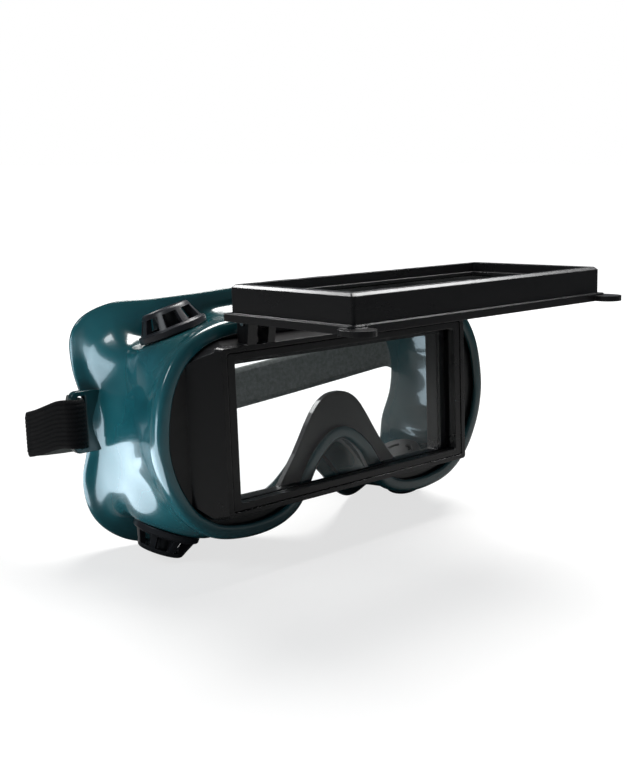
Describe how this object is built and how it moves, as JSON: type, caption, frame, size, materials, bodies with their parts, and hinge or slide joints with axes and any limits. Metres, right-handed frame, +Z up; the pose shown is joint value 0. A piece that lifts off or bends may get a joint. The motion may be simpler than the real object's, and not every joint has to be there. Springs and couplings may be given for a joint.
{
  "type": "welding goggles",
  "caption": "Wide wrap-round welding goggles with a soft body, capped air vents, a rectangular clear window, a lift-up shade frame on a top hinge and an elastic head strap.",
  "frame": {"origin": "centre of the footprint, on the floor that the goggles stand on", "axes": "+Z up, the window faces -Y, +X towards the wearer's left"},
  "size_m": [0.1758, 0.1597, 0.1021],
  "materials": {
    "soft_body": "gloss",
    "black_plastic": "satin",
    "clear_lens": "gloss",
    "shade_filter": "gloss",
    "seal_rubber": "matte",
    "pin_steel": "satin",
    "strap_elastic": "matte"
  },
  "bodies": {
    "goggles": {"goggle_body": "soft_body", "vent_cap_upper_left": "black_plastic", "vent_cap_upper_right": "black_plastic", "vent_cap_lower_left": "black_plastic", "vent_cap_lower_right": "black_plastic", "vent_disc_upper_left": "black_plastic", "vent_disc_upper_right": "black_plastic", "vent_disc_lower_left": "black_plastic", "vent_disc_lower_right": "black_plastic", "lens_carrier": "black_plastic", "window_lens": "clear_lens", "window_gasket": "seal_rubber", "window_retainer": "black_plastic", "hinge_pin_left": "pin_steel", "hinge_pin_right": "pin_steel", "head_strap": "strap_elastic"},
    "lift_shade": {"lift_frame": "black_plastic", "shade_lens": "shade_filter", "shade_gasket": "seal_rubber", "cover_lens": "clear_lens", "shade_retainer": "black_plastic"}
  },
  "joints": [
    {"name": "shade_hinge", "type": "hinge", "parent": "goggles", "child": "lift_shade", "pos_m": [0, -0.0084, 0.08606], "axis": [1, 0, 0], "range_deg": [-30, 89]}
  ]
}
